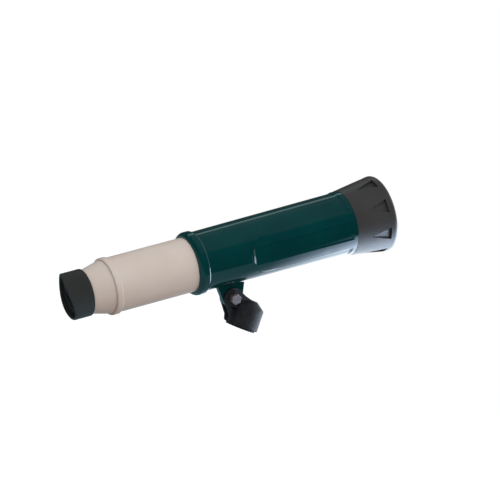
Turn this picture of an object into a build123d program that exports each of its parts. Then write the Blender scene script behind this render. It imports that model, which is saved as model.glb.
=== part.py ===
"""Playground telescope on a tilting, turning mount.

Millimetres. The origin is the centre of the mount's underside, +Z is up from the surface that
the mount is screwed to, and +X is the way the telescope looks. The tilt pin runs along Y.
"""

from build123d import *
import math
import os

# ---- Driving dimensions, mm and degrees ----

# Where the telescope sits on its mount
tilt_rest = 31.9          # pitch of the telescope above the mounting surface
tilt_down = 42.0          # travel from there until the lug meets the end of its slot
pin_behind = 21.1         # tilt pin behind the mount's centre
pin_height = 24.9         # tilt pin above the mounting surface
axis_height = 43.2        # telescope's centre line from the tilt pin, square to the line

# Clearances
turn_gap = 0.3            # faces that turn past each other
fit_gap = 0.05            # radial, round parts that turn or push in
slot_gap = 0.5            # lug's edge from the end of its slot
lug_side_gap = 0.25       # lug from each ear

# Swivel base, the disc that is screwed down
flange_radius = 14.6
flange_thickness = 1.4
hub_radius = 13.4
hub_height = 4.9
post_radius = 5.0
post_height = 9.6
base_screw_circle = 18.4
base_screw_count = 3
base_screw_radius = 2.2
base_sink_radius = 3.9
pan_screw_radius = 2.2
pan_screw_depth = 7.0
pan_head_radius = 4.0
pan_head_height = 2.6
pan_head_round = 1.5
pan_washer_radius = 6.1
pan_washer_thickness = 1.2

# Yoke, the round foot with two ears
foot_radius = 16.8
foot_top_radius = 15.8
foot_shoulder = 22.2
foot_crown_radius = 7.2
foot_crown_height = 28.5
foot_height = 29.2
foot_edge_round = 0.8
foot_top_round = 1.8
ear_radius = 10.0
ear_thickness = 2.6
boss_radius = 7.6
boss_height = 0.9
pocket_floor = 9.4        # below it the foot is a full circle
pocket_end = 7.0          # ahead of the tilt pin, where the foot's flank starts
ear_strip_angle = 38.0    # where the strut leaves the ear, below the horizontal
strut_inset = 1.8
arm_front = 11.0
arm_rise = 2.3
window_margin = 1.0

# Tilt bolt, quarter-inch machine screw with a small hexagon head
bolt_radius = 3.175
bolt_head_across = 9.5
bolt_head_height = 4.4
bolt_end_length = 1.2     # thread showing past the nut
nut_across = 11.1
nut_height = 7.2
nut_collar_height = 1.8
nut_round = 0.9
washer_radius = 6.2
washer_thickness = 1.4
bolt_head_turn = 42.0
head_chamfer = 0.6
bush_radius = 4.3

# Lug under the barrel
lug_width = 6.0
lug_radius = 10.2
lug_taper = 15.0
lug_root = 1.2            # into the barrel's wall

# Barrel, stations run along the telescope from above the tilt pin
barrel_back_radius = 29.2
barrel_front_radius = 30.7
barrel_wall = 2.4
collar_back = -43.0
collar_crest_back = -38.0
collar_crest_front = -34.4
collar_front = -32.2
collar_stand = 1.8        # collar above the barrel
collar_mouth_gap = 0.5
collar_bulge = 1.1
collar_shoulder_bulge = 0.6
socket_wall = 2.6
socket_end = -20.0
stop_thickness = 2.5
stop_depth = 2.4
band_back = 119.9
band_front = 127.4
band_slope = 3.0          # its back edge, along the telescope
spigot_length = 8.7
spigot_step = 2.6         # spigot's radius below the band's
pad_back = 12.0
pad_half_height = 19.6
pad_height = 0.8          # up to the band's radius
pad_bevel = 1.3
pad_lip = 0.15            # upright part of the edge, below the bevel
channel_half_height = 7.4
channel_bevel = 1.9
channel_sill = 4.4        # pad left behind the channel
channel_corner = 3.0

# Draw tube and eyepiece
draw_wall = 2.2
rib_back = -130.0
rib_front = -123.3
rib_stand = 1.25          # above the draw tube
rib_round = 1.2
cone_front = -132.0
cone_step = 1.05          # cone's wide end below the draw tube
cone_back = -151.4
cone_narrowing = 4.7
neck_step = 0.4           # neck below the cone's narrow end
neck_length = 7.0
cone_wall = 2.0
cone_spigot_length = 11.0

# Eyecup
cup_wall = 2.45
cup_middle = -169.4       # rear rim, in the middle of its hollow
cup_slant = 12.3
cup_roll = 34.0           # long side, turned up from the right-hand side
cup_rim_wall = 2.2
cup_hollow_radius = 84.0  # cylinder that shapes the rim to the face
cup_hollow_roll = 45.0    # its two long points, turned up from the right-hand side
cup_lip_round = 0.9
cup_seat_thickness = 2.8
eye_hole_radius = 13.5
eye_lens_lap = 2.4        # lens beyond its hole
eye_lens_edge = 1.6
eye_lens_bulge = 0.5
eye_ring_thickness = 2.4
eye_ring_step = 1.1
eye_ring_step_depth = 1.2

# Hood and objective
hood_back_stand = 0.3      # above the band
hood_rim_radius = 37.2
hood_rim = 164.7
hood_lip_length = 3.7
hood_lip_width = 3.4
hood_lip_round = 3.0
hood_mouth_depth = 6.0
notch_count = 8
notch_clock = 18.3        # first notch, turned down from the right-hand side
notch_length = 20.4
notch_margin = 3.5        # behind the rim
notch_half_width = 6.7
notch_depth = 3.8         # below the rim's radius
notch_wall = 2.6          # left between a notch and the bore
lens_seat = 139.0
lens_clearance = 1.3      # lens pocket below the bore
lens_edge = 2.0
lens_bulge = 0.9
lens_ring_thickness = 3.0
lens_lap = 2.3            # lens beyond the ring's opening
lens_ring_slope = 1.0

# ---- Planes and shared places ----

pitch = math.radians(tilt_rest)
along = Vector(math.cos(pitch), 0, math.sin(pitch))
across = Vector(-math.sin(pitch), 0, math.cos(pitch))
right_side = Vector(0, -1, 0)

pin = Vector(-pin_behind, 0, pin_height)
lug_plane = Plane(origin=pin, x_dir=along, z_dir=right_side)
yoke_plane = Plane(origin=pin, x_dir=(1, 0, 0), z_dir=right_side)
scope = Plane(origin=pin + across * axis_height, x_dir=along, z_dir=right_side)
scope_axis = Axis(scope.origin, along)
scope_section = Plane(origin=scope.origin, x_dir=right_side, z_dir=along)

rim_bottom = flange_thickness + turn_gap
web_bottom = hub_height + turn_gap
web_top = post_height - turn_gap
well_radius = pan_washer_radius + turn_gap
slot_half = lug_width / 2 + lug_side_gap
ear_face = slot_half + ear_thickness
boss_face = ear_face + boss_height

socket_radius = barrel_back_radius - socket_wall
draw_radius = socket_radius - fit_gap
draw_bore = draw_radius - draw_wall
stop_front = socket_end + stop_thickness
collar_radius = barrel_back_radius + collar_stand
band_radius = barrel_front_radius + pad_height
spigot_radius = band_radius - spigot_step
spigot_front = band_front + spigot_length

rib_radius = draw_radius + rib_stand
cone_front_radius = draw_radius - cone_step
cone_back_radius = cone_front_radius - cone_narrowing
neck_radius = cone_back_radius - neck_step
neck_back = cone_back - neck_length

cup_radius = neck_radius + fit_gap + cup_wall
cup_bore_radius = cup_radius - cup_rim_wall
cup_front = cone_back - turn_gap
cup_seat_back = neck_back - cup_seat_thickness
eye_lens_radius = eye_hole_radius + eye_lens_lap

hood_back_radius = band_radius + hood_back_stand
hood_front = hood_rim + hood_lip_length
hood_mouth_radius = hood_rim_radius - hood_lip_width
notch_floor_radius = hood_rim_radius - notch_depth
notch_end = hood_rim - notch_margin
notch_tip = notch_end - notch_length
hood_bore_radius = notch_floor_radius - notch_wall
lens_radius = hood_bore_radius - lens_clearance
lens_ring_inner = lens_radius - lens_lap
lens_ring_front = lens_seat + lens_edge + lens_ring_thickness


def barrel_radius(station):
    """Outside radius of the barrel's long taper."""
    share = (station - collar_front) / (band_back - collar_front)
    return barrel_back_radius + share * (barrel_front_radius - barrel_back_radius)


def arc_middle(start, end, bulge):
    """Middle point of an arc that stands bulge to the left of the line from start to end."""
    start, end = Vector(*start), Vector(*end)
    chord = end - start
    normal = Vector(-chord.Y, chord.X, 0).normalized()
    return (start + end) * 0.5 + normal * bulge


def save(part, name):
    part.label = name
    export_step(part, f"parts/{name}.step")


os.makedirs("parts", exist_ok=True)

# ---- Mount: base, pan screw and washer ----

# The base is one moulded disc: flange, hub that fills the foot, and the post it turns on.
with BuildPart() as swivel_base:
    with BuildSketch(Plane.XZ):
        with BuildLine():
            Polyline(
                (0, 0),
                (flange_radius, 0),
                (flange_radius, flange_thickness),
                (hub_radius, flange_thickness),
                (hub_radius, hub_height),
                (post_radius, hub_height),
                (post_radius, post_height),
                (0, post_height),
                close=True,
            )
        make_face()
    revolve(axis=Axis.Z)
    with Locations(Plane.XY.offset(hub_height)):
        with PolarLocations(base_screw_circle / 2, base_screw_count):
            CounterSinkHole(base_screw_radius, base_sink_radius)
    with Locations(Plane.XY.offset(post_height)):
        Hole(pan_screw_radius + fit_gap, pan_screw_depth)
save(swivel_base.part, "swivel_base")

with BuildPart() as pan_washer:
    with BuildSketch(Plane.XY.offset(post_height)):
        Circle(pan_washer_radius)
        Circle(pan_screw_radius + fit_gap, mode=Mode.SUBTRACT)
    extrude(amount=pan_washer_thickness)
save(pan_washer.part, "pan_washer")

pan_head_seat = post_height + pan_washer_thickness
with BuildPart() as pan_screw:
    with BuildSketch(Plane.XY.offset(pan_head_seat)):
        Circle(pan_head_radius)
    extrude(amount=pan_head_height)
    fillet(pan_screw.edges().sort_by(Axis.Z)[-1], pan_head_round)
    with BuildSketch(Plane.XY.offset(pan_head_seat)):
        Circle(pan_screw_radius)
    extrude(amount=-(pan_washer_thickness + pan_screw_depth - turn_gap))
save(pan_screw.part, "pan_screw")

# ---- Mount: yoke ----

stop_edge = math.radians(tilt_rest - tilt_down - lug_taper)
slot_reach = lug_radius + slot_gap
slot_top = foot_height - pin_height + ear_radius
slot_top_front = (slot_reach - slot_top * math.sin(stop_edge)) / math.cos(stop_edge)
slot_back = ear_radius + lug_radius
foot_level = rim_bottom - pin_height
foot_back = pin_behind - foot_radius
ear_tangent = math.radians(ear_strip_angle)
window_top = boss_radius + window_margin


def both_sides(inner, thickness):
    """The two planes, one each side of the yoke, from which a pair of features is extruded."""
    return yoke_plane.offset(inner), yoke_plane.offset(-inner - thickness)


with BuildPart() as yoke:
    # Round foot with a sloping shoulder
    with BuildSketch(Plane.XZ) as foot_profile:
        with BuildLine():
            Polyline(
                (0, rim_bottom),
                (foot_radius, rim_bottom),
                (foot_top_radius, foot_shoulder),
                (foot_crown_radius, foot_crown_height),
                (0, foot_height),
                close=True,
            )
        make_face()
        fillet(foot_profile.vertices().sort_by(Axis.X)[-3:-1], foot_top_round)
    revolve(axis=Axis.Z)
    fillet(yoke.edges().group_by(Axis.Z)[0], foot_edge_round)
    # Pockets beside the ears give a spanner room at the bolt head and at the nut
    with BuildSketch(*both_sides(ear_face, foot_radius)):
        with Locations((pocket_end, pocket_floor - pin_height)):
            Rectangle(foot_radius, foot_height, align=(Align.MAX, Align.MIN))
    extrude(amount=foot_radius, mode=Mode.SUBTRACT)
    # Ears, each with a slanted strut down to the foot
    with BuildSketch(*both_sides(slot_half, ear_thickness)):
        Circle(ear_radius)
        with BuildLine():
            Polyline(
                (-ear_radius * math.cos(ear_tangent), -ear_radius * math.sin(ear_tangent)),
                (foot_back - strut_inset, pocket_floor - pin_height - strut_inset),
                (foot_back, foot_level + foot_edge_round),
                (pin_behind, foot_level + foot_edge_round),
                (pin_behind, foot_crown_height - pin_height),
                (arm_front, foot_crown_height - pin_height + arm_rise),
                (ear_radius * math.sin(ear_tangent), ear_radius * math.cos(ear_tangent)),
                close=True,
            )
        make_face()
    extrude(amount=ear_thickness)
    # Bosses round the tilt bolt
    with BuildSketch(*both_sides(ear_face, boss_height)):
        Circle(boss_radius)
    extrude(amount=boss_height)
    # Window between strut and foot, under each boss
    with BuildSketch(*both_sides(slot_half, ear_thickness)):
        with BuildLine():
            Polyline(
                (-window_margin, -window_top),
                (pocket_end, -window_top + window_margin),
                (pocket_end - window_margin, pocket_floor - pin_height + window_margin),
                close=True,
            )
        make_face()
        Circle(window_top, mode=Mode.SUBTRACT)
    extrude(amount=ear_thickness, mode=Mode.SUBTRACT)
    # Slot that the lug swings in, open to the back and the top
    with BuildSketch(yoke_plane.offset(-slot_half)):
        with BuildLine():
            CenterArc((0, 0), slot_reach, 0, 360)
            Line((slot_top_front, slot_top), (-slot_back, slot_top))
            Line((-slot_back, slot_top), (-slot_back, -slot_reach))
        make_hull()
    extrude(amount=2 * slot_half, mode=Mode.SUBTRACT)
    # Holes for the tilt bolt
    with BuildSketch(yoke_plane.offset(-boss_face)):
        Circle(bolt_radius + fit_gap)
    extrude(amount=2 * boss_face, mode=Mode.SUBTRACT)
    # Hollow for the hub, bore for the post, and the well that the pan screw is reached through
    with BuildSketch(Plane.XY.offset(rim_bottom)):
        Circle(hub_radius + turn_gap)
    extrude(amount=web_bottom - rim_bottom, mode=Mode.SUBTRACT)
    with BuildSketch(Plane.XY.offset(web_bottom)):
        Circle(post_radius + fit_gap)
    extrude(amount=foot_height, mode=Mode.SUBTRACT)
    with BuildSketch(Plane.XY.offset(web_top)):
        Circle(well_radius)
    extrude(amount=foot_height, mode=Mode.SUBTRACT)
save(yoke.part, "yoke")

# ---- Tilt joint: bolt, washer, nut and bush ----

with BuildPart() as tilt_bolt:
    with BuildSketch(yoke_plane.offset(boss_face)):
        RegularPolygon(bolt_head_across / 2, 6, major_radius=False, rotation=bolt_head_turn)
    extrude(amount=bolt_head_height)
    chamfer(tilt_bolt.faces().sort_by(Axis.Y)[0].edges(), head_chamfer)
    with BuildSketch(yoke_plane.offset(boss_face)):
        Circle(bolt_radius)
    extrude(amount=-(2 * boss_face + washer_thickness + nut_height + bolt_end_length))
    chamfer(tilt_bolt.faces().sort_by(Axis.Y)[-1].edges(), head_chamfer)
save(tilt_bolt.part, "tilt_bolt")

with BuildPart() as tilt_washer:
    with BuildSketch(yoke_plane.offset(-boss_face)):
        Circle(washer_radius)
        Circle(bolt_radius + fit_gap, mode=Mode.SUBTRACT)
    extrude(amount=-washer_thickness)
save(tilt_washer.part, "tilt_washer")

nut_seat = -boss_face - washer_thickness
with BuildPart() as tilt_nut:
    with BuildSketch(yoke_plane.offset(nut_seat)):
        RegularPolygon(nut_across / 2, 6, major_radius=False)
    extrude(amount=-(nut_height - nut_collar_height))
    with BuildSketch(yoke_plane.offset(nut_seat)):
        Circle(nut_across / 2 - head_chamfer)
    extrude(amount=-nut_height)
    fillet(tilt_nut.faces().sort_by(Axis.Y)[-1].edges(), nut_round)
    with BuildSketch(yoke_plane.offset(nut_seat)):
        Circle(bolt_radius + fit_gap)
    extrude(amount=-nut_height, mode=Mode.SUBTRACT)
save(tilt_nut.part, "tilt_nut")

with BuildPart() as pivot_bush:
    with BuildSketch(yoke_plane.offset(-slot_half)):
        Circle(bush_radius)
        Circle(bolt_radius + fit_gap, mode=Mode.SUBTRACT)
    extrude(amount=2 * slot_half)
save(pivot_bush.part, "pivot_bush")

# ---- Telescope: barrel ----

# Raised side pads: a shell round the barrel, cut to the pads' outline and run flush into the
# band, with a channel along the middle of each. Their back end is all but a half circle.
pad_front = band_back + band_slope
pad_round = pad_half_height - fit_gap
channel_back = pad_back + channel_sill


def beside_channel(edge):
    """True for an edge that the channel's own outline left in a pad."""
    place = scope.to_local_coords(edge.center())
    return place.X > channel_back - fit_gap and abs(place.Y) < channel_half_height + fit_gap


def pad_faces():
    """The pads' conical faces from right to left, without the slivers beside their bevels."""
    faces = side_pads.faces().filter_by(GeomType.CONE).sort_by(Axis.Y)
    return [face for face in faces if face.area > pad_half_height * pad_round]


with BuildPart() as side_pads:
    with BuildSketch(scope):
        with BuildLine():
            Polyline(
                (pad_back, barrel_radius(pad_back) - pad_height),
                (pad_front, barrel_radius(pad_front) - pad_height),
                (pad_front, barrel_radius(pad_front) + pad_height),
                (pad_back, barrel_radius(pad_back) + pad_height),
                close=True,
            )
        make_face()
    revolve(axis=scope_axis)
    with BuildSketch(scope) as pad_outline:
        with Locations((pad_back, 0)):
            Rectangle(
                pad_front - pad_back, 2 * pad_half_height, align=(Align.MIN, Align.CENTER)
            )
        fillet(pad_outline.vertices().group_by(Axis.X)[0], pad_round)
    extrude(amount=2 * barrel_front_radius, both=True, mode=Mode.INTERSECT)
    for side in (0, -1):
        outer = pad_faces()[side]
        bevelled = outer.edges().sort_by(Axis(scope.origin, along))[:-1]
        chamfer(bevelled, pad_bevel, pad_height - pad_lip, reference=outer)
    with BuildSketch(scope) as channel_outline:
        with Locations((channel_back, 0)):
            Rectangle(
                pad_front - channel_back, 2 * channel_half_height,
                align=(Align.MIN, Align.CENTER),
            )
        fillet(channel_outline.vertices().group_by(Axis.X)[0], channel_corner)
    extrude(amount=2 * barrel_front_radius, both=True, mode=Mode.SUBTRACT)
    for side in (0, -1):
        outer = pad_faces()[side]
        bevelled = outer.edges().filter_by(beside_channel)
        chamfer(bevelled, channel_bevel, pad_height - pad_lip, reference=outer)

lug_top = axis_height - barrel_back_radius + lug_root
lug_edge = math.radians(lug_taper)
lug_top_half = (lug_radius + lug_top * math.sin(lug_edge)) / math.cos(lug_edge)

with BuildPart() as barrel:
    with BuildSketch(scope):
        with BuildLine():
            mouth = (collar_back, socket_radius + collar_mouth_gap)
            crest_back = (collar_crest_back, collar_radius)
            crest_front = (collar_crest_front, collar_radius)
            heel = (collar_front, barrel_back_radius)
            Line((collar_back + collar_mouth_gap, socket_radius), mouth)
            ThreePointArc(mouth, arc_middle(mouth, crest_back, collar_bulge), crest_back)
            Line(crest_back, crest_front)
            shoulder = arc_middle(crest_front, heel, collar_shoulder_bulge)
            ThreePointArc(crest_front, shoulder, heel)
            Polyline(
                heel,
                (band_back, barrel_front_radius),
                (band_back + band_slope, band_radius),
                (band_front, band_radius),
                (band_front, spigot_radius),
                (spigot_front, spigot_radius),
                (spigot_front, spigot_radius - barrel_wall),
                (band_back, spigot_radius - barrel_wall),
                (band_back - barrel_wall, barrel_front_radius - barrel_wall),
                (stop_front, barrel_radius(stop_front) - barrel_wall),
                (stop_front, socket_radius - stop_depth),
                (socket_end, socket_radius - stop_depth),
                (socket_end, socket_radius),
                (collar_back + collar_mouth_gap, socket_radius),
            )
        make_face()
    revolve(axis=scope_axis)
    # Lug, tapered down to the eye that the tilt pin goes through
    with BuildSketch(lug_plane.offset(-lug_width / 2)):
        with BuildLine():
            CenterArc((0, 0), lug_radius, 0, 360)
            Line((-lug_top_half, lug_top), (lug_top_half, lug_top))
        make_hull()
    extrude(amount=lug_width)
    with BuildSketch(lug_plane.offset(-lug_width / 2)):
        Circle(bush_radius + fit_gap)
    extrude(amount=lug_width, mode=Mode.SUBTRACT)
    add(side_pads.part)
save(barrel.part, "barrel")

# ---- Telescope: draw tube and eyepiece ----

with BuildPart() as draw_tube:
    with BuildSketch(scope_section.offset(rib_front)):
        Circle(draw_radius)
        Circle(draw_bore, mode=Mode.SUBTRACT)
    extrude(amount=socket_end - rib_front)
save(draw_tube.part, "draw_tube")

# The eyepiece's rib stops against the draw tube, with a spigot inside it
with BuildPart() as eyepiece:
    with BuildSketch(scope) as eyepiece_profile:
        with BuildLine():
            Polyline(
                (rib_front, rib_radius),
                (rib_front, draw_bore - fit_gap),
                (rib_front + cone_spigot_length, draw_bore - fit_gap),
                (rib_front + cone_spigot_length, draw_bore - fit_gap - cone_wall),
                (rib_back, draw_bore - fit_gap - cone_wall),
                (cone_back, cone_back_radius - cone_wall),
                (cone_back, neck_radius - cone_wall),
                (neck_back, neck_radius - cone_wall),
                (neck_back, neck_radius),
                (cone_back, neck_radius),
                (cone_back, cone_back_radius),
                (cone_front, cone_front_radius),
                (rib_back, cone_front_radius),
                (rib_back, rib_radius),
                close=True,
            )
        make_face()
        fillet(eyepiece_profile.vertices().sort_by(Axis.Y)[-2:], rib_round)
    revolve(axis=scope_axis)
save(eyepiece.part, "eyepiece")

# ---- Telescope: eyecup, its lens and the ring that holds the lens ----

roll = math.radians(cup_roll)
long_side = right_side * math.cos(roll) + across * math.sin(roll)
slant = math.radians(cup_slant)
rim_normal = along * math.cos(slant) + long_side * math.sin(slant)
rim_centre = scope.origin + along * cup_middle
hollow_roll = math.radians(cup_hollow_roll)
hollow_points = right_side * math.cos(hollow_roll) + across * math.sin(hollow_roll)
hollow_axis = rim_normal.cross(hollow_points)
cup_reach = cup_radius * (math.tan(slant) + cup_radius / cup_hollow_radius)

with BuildPart() as eyecup:
    with BuildSketch(scope):
        with BuildLine():
            Polyline(
                (cup_front, neck_radius + fit_gap),
                (cup_front, cup_radius),
                (cup_middle - cup_reach, cup_radius),
                (cup_middle - cup_reach, cup_bore_radius),
                (cup_seat_back, cup_bore_radius),
                (cup_seat_back, eye_lens_radius + fit_gap),
                (cup_seat_back + eye_lens_edge, eye_lens_radius + fit_gap),
                (cup_seat_back + eye_lens_edge, eye_hole_radius),
                (neck_back, eye_hole_radius),
                (neck_back, neck_radius + fit_gap),
                close=True,
            )
        make_face()
    revolve(axis=scope_axis)
    # Rim, slanted and hollowed to sit against the face
    hollow_centre = rim_centre - rim_normal * cup_hollow_radius
    with BuildSketch(Plane(origin=hollow_centre, x_dir=rim_normal, z_dir=hollow_axis)):
        Circle(cup_hollow_radius)
    extrude(amount=2 * cup_radius, both=True, mode=Mode.SUBTRACT)
    fillet(eyecup.edges().filter_by(GeomType.BSPLINE), cup_lip_round)
save(eyecup.part, "eyecup")


def lens_profile(back, front, radius, aperture, bulge):
    """Half section of a lens: a flat rim that the ring holds, and faces that bulge inside it."""
    sphere = (aperture**2 + bulge**2) / (2 * bulge)
    sweep = math.degrees(math.asin(aperture / sphere))
    with BuildSketch(scope) as profile:
        with BuildLine():
            front_face = CenterArc((front + bulge - sphere, 0), sphere, 0, sweep)
            back_face = CenterArc((back - bulge + sphere, 0), sphere, 180, -sweep)
            Polyline(front_face @ 1, (front, radius), (back, radius), back_face @ 1)
            Line(back_face @ 0, front_face @ 0)
        make_face()
    return profile.sketch


with BuildPart() as eye_lens:
    add(
        lens_profile(
            cup_seat_back, cup_seat_back + eye_lens_edge,
            eye_lens_radius, eye_hole_radius, eye_lens_bulge,
        )
    )
    revolve(axis=scope_axis)
save(eye_lens.part, "eye_lens")

with BuildPart() as eye_lens_ring:
    with BuildSketch(scope):
        with BuildLine():
            Polyline(
                (cup_seat_back, cup_bore_radius - fit_gap),
                (cup_seat_back, eye_hole_radius),
                (cup_seat_back - eye_ring_step_depth, eye_hole_radius),
                (cup_seat_back - eye_ring_step_depth, eye_hole_radius + eye_ring_step),
                (cup_seat_back - eye_ring_thickness, eye_hole_radius + eye_ring_step),
                (cup_seat_back - eye_ring_thickness, cup_bore_radius - fit_gap),
                close=True,
            )
        make_face()
    revolve(axis=scope_axis)
save(eye_lens_ring.part, "eye_lens_ring")

# ---- Telescope: hood, objective lens and its ring ----

with BuildPart() as hood:
    with BuildSketch(scope):
        with BuildLine():
            Polyline(
                (band_front, spigot_radius + fit_gap),
                (band_front, hood_back_radius),
                (hood_rim, hood_rim_radius),
                (hood_front, hood_rim_radius),
                (hood_front, hood_mouth_radius),
                (hood_front - hood_mouth_depth, hood_bore_radius),
                (lens_ring_front, hood_bore_radius),
                (lens_ring_front, lens_radius + fit_gap),
                (lens_seat, lens_radius + fit_gap),
                (lens_seat, lens_ring_inner),
                (spigot_front, lens_ring_inner),
                (spigot_front, spigot_radius + fit_gap),
                close=True,
            )
        make_face()
    revolve(axis=scope_axis)
    # Grip notches, wedges that deepen towards the rim
    for number in range(notch_count):
        turn = notch_clock + number * 360 / notch_count
        out = right_side.rotate(Axis((0, 0, 0), along), turn)
        with BuildSketch(Plane(scope.origin + out * notch_floor_radius, x_dir=along, z_dir=out)):
            with BuildLine():
                Polyline(
                    (notch_tip, 0),
                    (notch_end, notch_half_width),
                    (notch_end, -notch_half_width),
                    close=True,
                )
            make_face()
        extrude(amount=hood_rim_radius, mode=Mode.SUBTRACT)
    lip_edges = hood.edges().group_by(Axis(scope.origin, along))[-1]
    fillet(lip_edges.sort_by(SortBy.RADIUS)[-1], hood_lip_round)
save(hood.part, "hood")

with BuildPart() as objective_lens:
    add(
        lens_profile(
            lens_seat, lens_seat + lens_edge, lens_radius, lens_ring_inner, lens_bulge
        )
    )
    revolve(axis=scope_axis)
save(objective_lens.part, "objective_lens")

with BuildPart() as objective_ring:
    with BuildSketch(scope):
        with BuildLine():
            Polyline(
                (lens_seat + lens_edge, lens_radius),
                (lens_seat + lens_edge, lens_ring_inner),
                (lens_ring_front, lens_ring_inner + lens_ring_slope),
                (lens_ring_front, lens_radius),
                close=True,
            )
        make_face()
    revolve(axis=scope_axis)
save(objective_ring.part, "objective_ring")
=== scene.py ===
import math
import bmesh
import bpy
from mathutils import Matrix, Vector

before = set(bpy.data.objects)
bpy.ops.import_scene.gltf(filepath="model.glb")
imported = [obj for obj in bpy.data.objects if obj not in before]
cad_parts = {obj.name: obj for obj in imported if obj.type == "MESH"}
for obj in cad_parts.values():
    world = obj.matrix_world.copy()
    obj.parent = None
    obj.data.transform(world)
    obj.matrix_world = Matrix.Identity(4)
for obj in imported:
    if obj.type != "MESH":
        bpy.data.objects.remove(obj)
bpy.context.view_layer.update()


# ---------------------------------------------------------------------------
# Swivel base: the flanged stub that is screwed to a post or a rail and that
# the bracket turns on. One injection moulding in black nylon with short glass
# fibres, matt from the mould, held by three countersunk wood screws.
# ---------------------------------------------------------------------------

MM = 0.001


def linear(text):
    """An sRGB hex colour such as "4A5C33" as linear RGBA."""
    channels = [int(text[i:i + 2], 16) / 255 for i in (0, 2, 4)]
    return tuple(c / 12.92 if c <= 0.04045 else ((c + 0.055) / 1.055) ** 2.4
                 for c in channels) + (1.0,)


def add_node(owner, kind, settings=None, links=None):
    """A shader node with its settings made and its inputs linked."""
    node = owner.node_tree.nodes.new("ShaderNode" + kind)
    for key, value in (settings or {}).items():
        if isinstance(key, str) and hasattr(node, key):
            setattr(node, key, value)
        else:
            node.inputs[key].default_value = value
    for key, source in (links or {}).items():
        owner.node_tree.links.new(source, node.inputs[key])
    return node


def shade_by(ramp, stops):
    """Gives a colour ramp these stops, each a position and a linear colour."""
    while len(ramp.elements) < len(stops):
        ramp.elements.new(0.5)
    for element, (position, colour) in zip(ramp.elements, stops):
        element.position = position
        element.color = colour


def new_material(name):
    """An empty node material with its output node."""
    material = bpy.data.materials.new(name)
    material.use_nodes = True
    material.node_tree.nodes.clear()
    return material, add_node(material, "OutputMaterial")


def finish_material(material, output, shader):
    """Links the shader to the output."""
    material.node_tree.links.new(shader.outputs[0], output.inputs["Surface"])
    return material


def dress(node_name, material):
    """Gives a CAD node's every slot this material."""
    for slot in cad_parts[node_name].material_slots:
        slot.material = material


def filled_nylon(name, colour, streak_colour):
    # Glass-filled nylon, moulded: near black and matt, with faint grey
    # streaks where fibres lie at the skin and a fine, even mould grain.
    # The real grain is a tenth of a millimetre, drawn coarser so that it shows
    streak_length = 6 * MM
    grain_width = 0.9 * MM
    grain_depth = 0.05 * MM
    material, output = new_material(name)
    place = add_node(material, "TexCoord")
    streaks = add_node(material, "TexNoise",
                       {"Scale": 1 / streak_length, "Detail": 3.0, "Roughness": 0.6,
                        "Distortion": 1.2},
                       {"Vector": place.outputs["Object"]})
    tone = add_node(material, "ValToRGB", {}, {"Fac": streaks.outputs["Fac"]})
    shade_by(tone.color_ramp, [(0.35, linear(colour)), (0.75, linear(streak_colour))])
    grain = add_node(material, "TexNoise", {"Scale": 1 / grain_width, "Detail": 2.0},
                     {"Vector": place.outputs["Object"]})
    rough = add_node(material, "MapRange", {"To Min": 0.56, "To Max": 0.70},
                     {"Value": grain.outputs["Fac"]})
    relief = add_node(material, "Bump", {"Strength": 0.25, "Distance": grain_depth},
                      {"Height": grain.outputs["Fac"]})
    shader = add_node(material, "BsdfPrincipled",
                      {"IOR": 1.53, "Specular IOR Level": 0.3},
                      {"Base Color": tone.outputs["Color"],
                       "Roughness": rough.outputs["Result"],
                       "Normal": relief.outputs["Normal"]})
    return finish_material(material, output, shader)


black_nylon = filled_nylon("black_glass_filled_nylon", "1A1B1F", "292A2F")
dress("swivel_base", black_nylon)


# ---------------------------------------------------------------------------
# Pan screw and washer: the round-headed screw that holds the bracket down on
# the swivel base, and the plain washer under its head. Steel wire and strip,
# cold headed and stamped, then zinc plated in a barrel.
# ---------------------------------------------------------------------------

def zinc_plate(name, colour, dull_colour):
    # Zinc plate that has stood outdoors: half bare blue-grey metal and half its
    # own chalky oxide, so it is cloudy and only softly bright, with tiny dings
    # from the plating barrel that are drawn wider than the real ones, to show
    cloud_width = 4 * MM
    ding_width = 0.8 * MM
    ding_depth = 0.03 * MM
    material, output = new_material(name)
    place = add_node(material, "TexCoord")
    clouds = add_node(material, "TexNoise",
                      {"Scale": 1 / cloud_width, "Detail": 4.0, "Roughness": 0.65},
                      {"Vector": place.outputs["Object"]})
    tone = add_node(material, "ValToRGB", {}, {"Fac": clouds.outputs["Fac"]})
    shade_by(tone.color_ramp, [(0.3, linear(dull_colour)), (0.7, linear(colour))])
    rough = add_node(material, "MapRange", {"To Min": 0.58, "To Max": 0.40},
                     {"Value": clouds.outputs["Fac"]})
    dings = add_node(material, "TexNoise", {"Scale": 1 / ding_width, "Detail": 2.0},
                     {"Vector": place.outputs["Object"]})
    relief = add_node(material, "Bump", {"Strength": 0.2, "Distance": ding_depth},
                      {"Height": dings.outputs["Fac"]})
    shader = add_node(material, "BsdfPrincipled", {"Metallic": 0.55},
                      {"Base Color": tone.outputs["Color"],
                       "Roughness": rough.outputs["Result"],
                       "Normal": relief.outputs["Normal"]})
    return finish_material(material, output, shader)


weathered_zinc = zinc_plate("zinc_plated_steel", "9D9499", "766E73")
dress("pan_screw", weathered_zinc)
dress("pan_washer", weathered_zinc)


# ---------------------------------------------------------------------------
# Yoke: the bracket that turns on the base and carries the telescope between
# two ears. One injection moulding in the same black nylon as the base.
# ---------------------------------------------------------------------------

dress("yoke", black_nylon)


# ---------------------------------------------------------------------------
# Tilt bolt, washer and nut: the quarter-inch hexagon screw that the telescope
# tilts on. Zinc plated steel, pushed through the ears and the lug's bush.
# ---------------------------------------------------------------------------

dress("tilt_bolt", weathered_zinc)
dress("tilt_washer", weathered_zinc)
dress("tilt_nut", weathered_zinc)


# ---------------------------------------------------------------------------
# Pivot bush: the plain sleeve in the lug that keeps the bolt from wearing it.
# Turned from natural acetal rod and pressed in.
# ---------------------------------------------------------------------------

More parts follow.
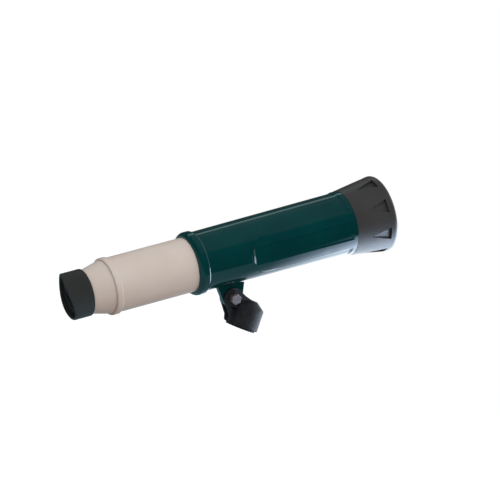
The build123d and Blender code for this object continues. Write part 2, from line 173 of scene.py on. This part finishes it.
def acetal(name, colour):
    # Natural acetal: milky white and waxy, with rings from turning. The tool's
    # real marks are a tenth of a millimetre apart, drawn coarser so that they show
    ring_spacing = 1.2 * MM
    ring_depth = 0.02 * MM
    glow_depth = 1 * MM
    material, output = new_material(name)
    place = add_node(material, "TexCoord")
    rings = add_node(material, "TexWave",
                     {"wave_type": "BANDS", "bands_direction": "Y",
                      "Scale": 1 / ring_spacing, "Distortion": 0.4},
                     {"Vector": place.outputs["Object"]})
    relief = add_node(material, "Bump", {"Strength": 0.15, "Distance": ring_depth},
                      {"Height": rings.outputs["Fac"]})
    shader = add_node(material, "BsdfPrincipled",
                      {"Base Color": linear(colour), "Roughness": 0.35, "IOR": 1.48,
                       "Subsurface Weight": 0.2, "Subsurface Scale": glow_depth},
                      {"Normal": relief.outputs["Normal"]})
    return finish_material(material, output, shader)


dress("pivot_bush", acetal("turned_natural_acetal", "E8E5DA"))


# ---------------------------------------------------------------------------
# Barrel: the big green tube with its raised panels, end bands and lug. One
# injection moulding in polypropylene from a polished mould.
# ---------------------------------------------------------------------------

def moulded_plastic(name, colour, deep_colour, ior, gloss, matt, grain_mm, relief_mm):
    # A moulded plastic: an even colour that clouds slightly where the melt
    # cooled at different speeds, and the skin that its mould gave it, with
    # its smoothest and roughest places and its grain's width and depth
    cloud_width = 35 * MM
    material, output = new_material(name)
    place = add_node(material, "TexCoord")
    clouds = add_node(material, "TexNoise", {"Scale": 1 / cloud_width, "Detail": 2.0},
                      {"Vector": place.outputs["Object"]})
    tone = add_node(material, "ValToRGB", {}, {"Fac": clouds.outputs["Fac"]})
    shade_by(tone.color_ramp, [(0.35, linear(deep_colour)), (0.65, linear(colour))])
    skin = add_node(material, "TexNoise", {"Scale": 1 / (grain_mm * MM), "Detail": 3.0},
                    {"Vector": place.outputs["Object"]})
    rough = add_node(material, "MapRange", {"To Min": gloss, "To Max": matt},
                     {"Value": skin.outputs["Fac"]})
    relief = add_node(material, "Bump", {"Strength": 1.0, "Distance": relief_mm * MM},
                      {"Height": skin.outputs["Fac"]})
    shader = add_node(material, "BsdfPrincipled", {"IOR": ior},
                      {"Base Color": tone.outputs["Color"],
                       "Roughness": rough.outputs["Result"],
                       "Normal": relief.outputs["Normal"]})
    return finish_material(material, output, shader)


# Green polypropylene from a polished mould: glossy, with a soft orange peel
# whose dimples are 5 mm wide and 4 thousandths of a millimetre deep
dress("barrel", moulded_plastic("gloss_green_polypropylene", "003637", "003033", 1.49,
                                gloss=0.06, matt=0.10, grain_mm=5, relief_mm=0.004))


# ---------------------------------------------------------------------------
# Draw tube and eyepiece: the beige tube pushed into the barrel's mouth and
# the ribbed, tapering end pushed into that. Both moulded in polypropylene.
# ---------------------------------------------------------------------------

# Beige polypropylene from a sanded mould: satin and warm. The real grain is
# 0.2 mm wide, drawn coarser so that it shows
beige = moulded_plastic("satin_beige_polypropylene", "C9BEB6", "C5B8AF", 1.49,
                        gloss=0.36, matt=0.44, grain_mm=1.6, relief_mm=0.006)
dress("draw_tube", beige)
dress("eyepiece", beige)


# ---------------------------------------------------------------------------
# Eyecup: the soft charcoal cup, cut on a slant and hollowed to meet the face.
# Moulded in plasticised PVC and stretched over the eyepiece's neck.
# ---------------------------------------------------------------------------

# Soft PVC from a spark-eroded mould: matt and a little leathery. The real
# grain is 0.3 mm wide, drawn coarser so that it shows
dress("eyecup", moulded_plastic("soft_charcoal_pvc", "2B2E2D", "272A29", 1.45,
                                gloss=0.50, matt=0.64, grain_mm=1.1, relief_mm=0.02))


# ---------------------------------------------------------------------------
# Lenses and their rings: clear acrylic discs at both ends, held in place by
# rings in the black nylon that are pushed in behind them.
# ---------------------------------------------------------------------------

def acrylic(name, tint):
    # Clear acrylic: a colourless, glass-like disc with a faint haze from handling
    haze_width = 9 * MM
    material, output = new_material(name)
    place = add_node(material, "TexCoord")
    haze = add_node(material, "TexNoise", {"Scale": 1 / haze_width, "Detail": 5.0},
                    {"Vector": place.outputs["Object"]})
    rough = add_node(material, "MapRange",
                     {"From Min": 0.4, "To Min": 0.01, "To Max": 0.06},
                     {"Value": haze.outputs["Fac"]})
    shader = add_node(material, "BsdfPrincipled",
                      {"Base Color": linear(tint), "IOR": 1.49,
                       "Transmission Weight": 1.0},
                      {"Roughness": rough.outputs["Result"]})
    return finish_material(material, output, shader)


clear_acrylic = acrylic("clear_acrylic", "F4F7F6")
dress("eye_lens", clear_acrylic)
dress("objective_lens", clear_acrylic)
dress("eye_lens_ring", black_nylon)
dress("objective_ring", black_nylon)


# ---------------------------------------------------------------------------
# Hood: the flared, notched shade round the front lens, pushed on the barrel.
# Moulded in dark grey polyethylene, satin.
# ---------------------------------------------------------------------------

# Charcoal polyethylene from a sanded mould: satin and faintly waxy. The real
# grain is 0.2 mm wide, drawn coarser so that it shows
dress("hood", moulded_plastic("satin_charcoal_polyethylene", "3B3A3A", "363535", 1.51,
                              gloss=0.34, matt=0.46, grain_mm=1.4, relief_mm=0.01))


# ---------------------------------------------------------------------------
# Floor: a plain pale sheet of paper, laid flat well below the part. It looks
# white, is dim and cool in a gloss, and throws a warm light back up.
# ---------------------------------------------------------------------------

scene = bpy.context.scene
floor_half_width = 4.0
floor_middle = (0, 3.1, -0.30)

floor_mesh = bpy.data.meshes.new("floor")
shape = bmesh.new()
bmesh.ops.create_grid(shape, x_segments=1, y_segments=1, size=floor_half_width)
bmesh.ops.translate(shape, verts=shape.verts, vec=floor_middle)
shape.to_mesh(floor_mesh)
shape.free()
floor = bpy.data.objects.new("floor", floor_mesh)
scene.collection.objects.link(floor)

# The paper's glow and the light that falls on it add up to white
paper_glow = (0.76, 0.855, 0.905, 1)
glow_in_gloss = 0.05
paper, output = new_material("white_paper")
rays = add_node(paper, "LightPath")
mirrored = add_node(paper, "Math", {"operation": "MULTIPLY", 1: glow_in_gloss},
                    {0: rays.outputs["Is Glossy Ray"]})
seen = add_node(paper, "Math", {"operation": "MAXIMUM"},
                {0: rays.outputs["Is Camera Ray"],
                 1: rays.outputs["Is Transmission Ray"]})
glow = add_node(paper, "Math", {"operation": "MAXIMUM"},
                {0: seen.outputs[0], 1: mirrored.outputs[0]})
tone = add_node(paper, "Mix",
                {"data_type": "RGBA", 6: linear("9A806F"), 7: linear("7CA6B5")},
                {"Factor": rays.outputs["Is Glossy Ray"]})
shader = add_node(paper, "BsdfPrincipled",
                  {"Roughness": 0.9, "Emission Color": paper_glow},
                  {"Base Color": tone.outputs[2], "Emission Strength": glow.outputs[0]})
finish_material(paper, output, shader)
floor_mesh.materials.append(paper)


# ---------------------------------------------------------------------------
# Room: a studio with pale walls. Its soft light is even, and a little brighter
# in front. In a gloss it is pale behind the telescope and dim in front of it.
# ---------------------------------------------------------------------------

scene.view_settings.view_transform = "Standard"

# Directions from the telescope: out past its hood, out behind it and over it
ahead = (0.85, 0, 0.53)
behind = (0.17, 0.95, -0.28)
over = (-0.50, 0.33, 0.80)

world = bpy.data.worlds.new("studio_room")
scene.world = world
world.use_nodes = True
world.node_tree.nodes.clear()
rays = add_node(world, "LightPath")
place = add_node(world, "TexCoord")

# The walls' height round the telescope's line in degrees, and their brightness
# there: 0 is level with it behind, 90 is straight over it and 180 is in front
wall_levels = [(-180, 0.02), (-118, 0.02), (-108, 0.5), (-20, 0.5), (-8, 1.0), (0, 0.7),
               (6, 0.45), (15, 0.08), (30, 0.05), (56, 0.05), (66, 0.08), (90, 0.03)]
depth = add_node(world, "VectorMath", {"operation": "DOT_PRODUCT", 1: behind},
                 {0: place.outputs["Generated"]})
rise = add_node(world, "VectorMath", {"operation": "DOT_PRODUCT", 1: over},
                {0: place.outputs["Generated"]})
height = add_node(world, "Math", {"operation": "ARCTAN2"},
                  {0: rise.outputs["Value"], 1: depth.outputs["Value"]})
turn = add_node(world, "MapRange", {"From Min": -math.pi, "From Max": math.pi},
                {"Value": height.outputs[0]})
walls = add_node(world, "ValToRGB", {}, {"Fac": turn.outputs["Result"]})
shade_by(walls.color_ramp, [((angle + 180) / 360, (level, level, level, 1))
                            for angle, level in wall_levels])

# A tall window far off to the right, past the telescope's front end
window_level = 0.9
toward = add_node(world, "VectorMath", {"operation": "DOT_PRODUCT", 1: ahead},
                  {0: place.outputs["Generated"]})
window = add_node(world, "MapRange",
                  {"interpolation_type": "SMOOTHSTEP", "From Min": 0.68,
                   "From Max": 0.90, "To Max": window_level},
                  {"Value": toward.outputs["Value"]})
gleam = add_node(world, "VectorMath", {"operation": "ADD"},
                 {0: walls.outputs["Color"], 1: window.outputs["Result"]})

# The soft light that falls on the telescope from in front and from behind
front_level, back_level = 1.3, 0.5
soft = add_node(world, "MapRange",
                {"From Min": -1.0, "To Min": front_level, "To Max": back_level},
                {"Value": depth.outputs["Value"]})
room = add_node(world, "Mix", {"data_type": "RGBA"},
                {"Factor": rays.outputs["Is Glossy Ray"], 6: soft.outputs["Result"],
                 7: gleam.outputs["Vector"]})

# To the eye, and through a lens, the room is white
seen = add_node(world, "Math", {"operation": "MAXIMUM"},
                {0: rays.outputs["Is Camera Ray"],
                 1: rays.outputs["Is Transmission Ray"]})
sight = add_node(world, "Mix", {"data_type": "RGBA", 7: (1, 1, 1, 1)},
                 {"Factor": seen.outputs[0], 6: room.outputs[2]})
backdrop = add_node(world, "Background", {}, {"Color": sight.outputs[2]})
add_node(world, "OutputWorld", {}, {"Surface": backdrop.outputs[0]})


# ---------------------------------------------------------------------------
# Lamps: a large softbox above, a long strip high up behind, and a low card
# close on the right that faces the telescope and shows in its gloss only.
# ---------------------------------------------------------------------------

def softbox(name, spot, target, size, radiance, colour="FFFFFF"):
    """A rectangular area light, size in metres, seen as this bright in a mirror."""
    light = bpy.data.lights.new(name, "AREA")
    light.shape = "RECTANGLE"
    light.size, light.size_y = size
    light.energy = radiance * math.pi * size[0] * size[1]
    light.color = linear(colour)[:3]
    lamp = bpy.data.objects.new(name, light)
    lamp.visible_camera = False
    lamp.location = spot
    lamp.rotation_mode = "QUATERNION"
    lamp.rotation_quaternion = (Vector(target) - Vector(spot)).to_track_quat("-Z", "Y")
    scene.collection.objects.link(lamp)
    return lamp


softbox("overhead", (-0.19, -0.14, 1.5), (0, 0, 0.07), (1.9, 1.7), 0.13)
softbox("strip_behind", (0.055, 1.03, 1.16), (0, 0, 0.07), (2.2, 0.26), 0.9, "E4F8FA")

# The card fades out downwards and to the left, and is bluer in front than
# behind. Its tints stand at their places across it, from left to right
card_tints = [(0.0, "000000"), (0.076, "5B6C81"), (0.323, "B1BFD6"), (0.409, "B9C5DC"),
              (0.5, "8A97A3"), (0.591, "7F848B"), (0.682, "727276"), (1.0, "616165")]
fade_slant = 0.35
fade_low, fade_high = 0.33, 0.78
lamp = softbox("low_right", (0.2435, 0.027, -0.004), (0.0035, -0.003, 0.116),
               (0.66, 0.40), 16)
lamp.visible_diffuse = False
card = lamp.data
card.use_nodes = True
card.node_tree.nodes.clear()
place = add_node(card, "NewGeometry")
across = add_node(card, "SeparateXYZ", {}, {0: place.outputs["Parametric"]})
slant = add_node(card, "Math", {"operation": "MULTIPLY_ADD", 1: fade_slant},
                 {0: across.outputs[0], 2: across.outputs[1]})
fade = add_node(card, "MapRange",
                {"interpolation_type": "SMOOTHSTEP", "From Min": fade_low,
                 "From Max": fade_high},
                {"Value": slant.outputs[0]})
sheet = add_node(card, "ValToRGB", {}, {"Fac": across.outputs[0]})
shade_by(sheet.color_ramp, [(position, linear(tint)) for position, tint in card_tints])
shine = add_node(card, "Emission", {}, {"Color": sheet.outputs["Color"],
                                        "Strength": fade.outputs["Result"]})
add_node(card, "OutputLight", {}, {"Surface": shine.outputs[0]})


# ---------------------------------------------------------------------------
# Camera: a long lens on the telescope's right and towards its eyepiece end,
# almost level with it, and rolled so that the telescope lies flatter.
# ---------------------------------------------------------------------------

lens_mm = 360
film_width_mm = 36
distance = 4.77882
aim = Vector((-0.020566, 0.001, 0.073209))
azimuth, elevation, roll = (math.radians(angle) for angle in (-30.574, 1.866, 21.4905))

camera = bpy.data.objects.new("camera", bpy.data.cameras.new("camera"))
camera.data.sensor_width = film_width_mm
camera.data.lens = lens_mm
back = Vector((math.sin(azimuth) * math.cos(elevation),
               -math.cos(azimuth) * math.cos(elevation),
               math.sin(elevation)))
level_turn = (-back).to_track_quat("-Z", "Y")
camera.rotation_mode = "QUATERNION"
camera.rotation_quaternion = level_turn @ Matrix.Rotation(roll, 3, "Z").to_quaternion()
camera.location = aim + back * distance
scene.collection.objects.link(camera)
scene.camera = camera
